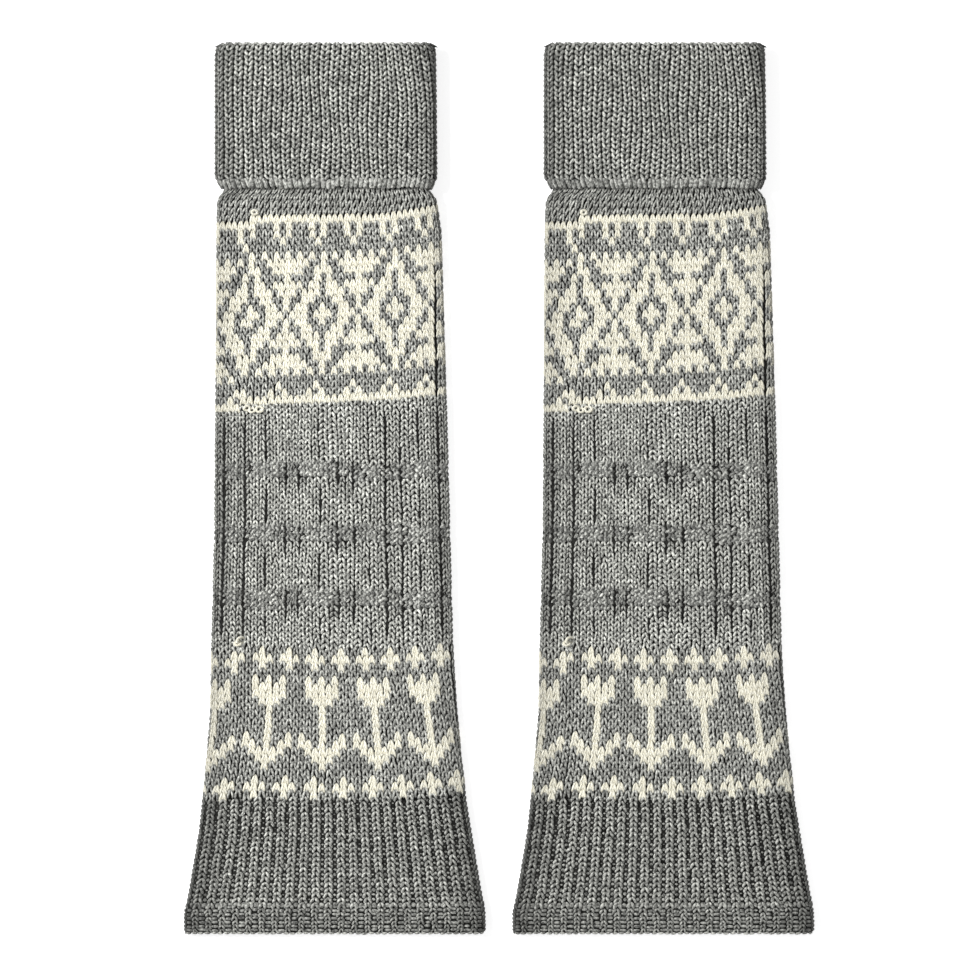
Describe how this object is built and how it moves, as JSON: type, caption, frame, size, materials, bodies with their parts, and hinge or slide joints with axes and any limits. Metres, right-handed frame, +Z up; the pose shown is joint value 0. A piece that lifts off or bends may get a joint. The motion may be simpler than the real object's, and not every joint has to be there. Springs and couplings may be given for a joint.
{
  "type": "pair of boot warmers",
  "caption": "Two long knit leg tubes laid flat side by side, each with a turned-down ribbed cuff, a patterned shaft, a flared ribbing and a rolled hem.",
  "frame": {"origin": "centre of the pair's box, on the surface that the undersides lie on", "axes": "+Y from the hems to the cuffs, +X from the left warmer to the right one, +Z up from the surface"},
  "size_m": [0.2908, 0.4108, 0.01],
  "materials": {
    "grey_yarn": "heathered grey wool-like yarn, matt, ribbed knit",
    "patterned_knit": "grey and cream yarn, stranded patterned bands and a plain textured zone, matt"
  },
  "bodies": {
    "root": {"cuff_left": "grey_yarn", "shaft_left": "patterned_knit", "ribbing_left": "grey_yarn", "hem_left": "grey_yarn", "cuff_right": "grey_yarn", "shaft_right": "patterned_knit", "ribbing_right": "grey_yarn", "hem_right": "grey_yarn"}
  },
  "joints": []
}
